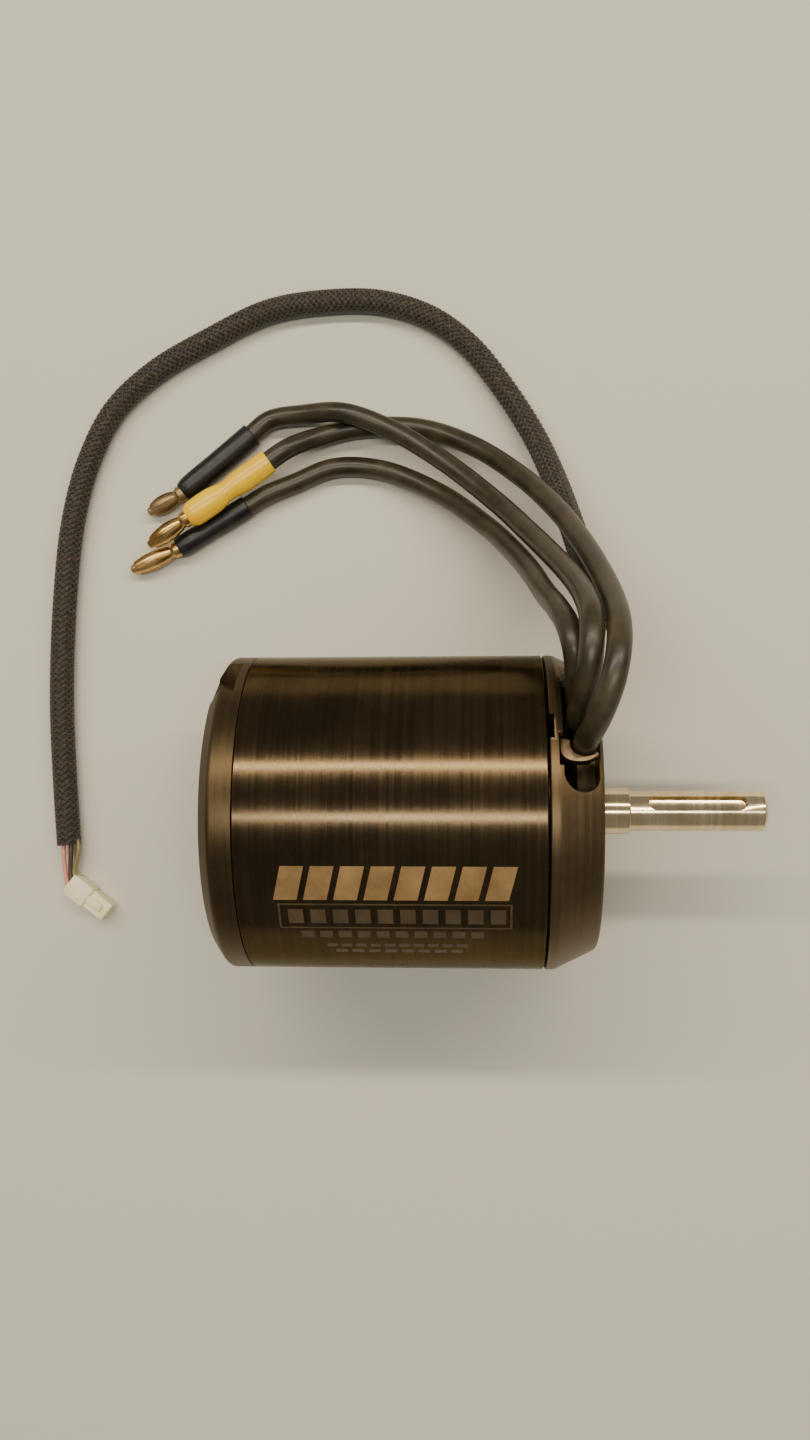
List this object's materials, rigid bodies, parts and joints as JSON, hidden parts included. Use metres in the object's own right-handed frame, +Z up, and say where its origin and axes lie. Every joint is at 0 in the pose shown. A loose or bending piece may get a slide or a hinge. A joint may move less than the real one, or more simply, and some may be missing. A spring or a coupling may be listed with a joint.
{
  "type": "brushless outrunner motor",
  "caption": "Sensored brushless outrunner motor: turning can and keyed shaft on a conical front mount, with loose phase wires, bullet plugs and a sleeved sensor cable.",
  "frame": {"origin": "centre of the motor's length and width at the ground it lies on, cables left out", "axes": "+X along the shaft towards its free end, +Z up from the ground, +Y the side the cables leave to"},
  "size_m": [0.1567, 0.1531, 0.0694],
  "materials": {
    "can_black": "black-brown anodised can, satin",
    "bell_bronze": "anodised bell, satin",
    "mount_bronze": "anodised front mount, satin",
    "bare_metal": "bare machined edge",
    "steel": "ground steel",
    "black_steel": "blackened steel",
    "race": "polished bearing steel",
    "epoxy": "green epoxy coat over laminations",
    "copper": "enamelled copper wire",
    "magnet": "nickel-plated magnet",
    "board": "green circuit board",
    "sensor_black": "black moulded sensor",
    "silicone": "black silicone wire",
    "braid": "black braided sleeve",
    "black_shrink": "black heat-shrink",
    "yellow_shrink": "yellow heat-shrink",
    "gold": "gold-plated brass",
    "connector_white": "white moulded housing",
    "lead_pink": "pink-red lead",
    "lead_red": "red lead",
    "lead_brown": "dark brown lead",
    "lead_tan": "tan lead",
    "lead_olive": "olive lead"
  },
  "bodies": {
    "stator": {"front_mount": "mount_bronze", "cable_guard": "bare_metal", "stator_core": "epoxy", "coil_01": "copper", "coil_02": "copper", "coil_03": "copper", "coil_04": "copper", "coil_05": "copper", "coil_06": "copper", "coil_07": "copper", "coil_08": "copper", "coil_09": "copper", "coil_10": "copper", "coil_11": "copper", "coil_12": "copper", "hall_board": "board", "hall_sensor_1": "sensor_black", "hall_sensor_2": "sensor_black", "hall_sensor_3": "sensor_black", "front_bearing_outer": "race", "rear_bearing_outer": "race", "phase_wire_1": "silicone", "phase_wire_2": "silicone", "phase_wire_3": "silicone", "shrink_sleeve_1": "black_shrink", "shrink_sleeve_2": "yellow_shrink", "shrink_sleeve_3": "black_shrink", "bullet_plug_1": "gold", "bullet_plug_2": "gold", "bullet_plug_3": "gold", "hall_sleeve": "braid", "hall_lead_1": "lead_pink", "hall_lead_2": "lead_red", "hall_lead_3": "lead_brown", "hall_lead_4": "lead_tan", "hall_lead_5": "lead_olive", "hall_connector": "connector_white"},
    "rotor": {"rotor_can": "can_black", "rear_bell": "bell_bronze", "grub_screw_1": "black_steel", "grub_screw_2": "black_steel", "shaft": "steel", "shaft_spacer": "steel", "front_bearing_inner": "race", "rear_bearing_inner": "race", "magnet_01": "magnet", "magnet_02": "magnet", "magnet_03": "magnet", "magnet_04": "magnet", "magnet_05": "magnet", "magnet_06": "magnet", "magnet_07": "magnet", "magnet_08": "magnet", "magnet_09": "magnet", "magnet_10": "magnet", "magnet_11": "magnet", "magnet_12": "magnet", "magnet_13": "magnet", "magnet_14": "magnet"}
  },
  "joints": [
    {"name": "rotor_spin", "type": "hinge", "parent": "stator", "child": "rotor", "pos_m": [0, 0, 0.03143], "axis": [1, 0, 0], "continuous": true}
  ]
}
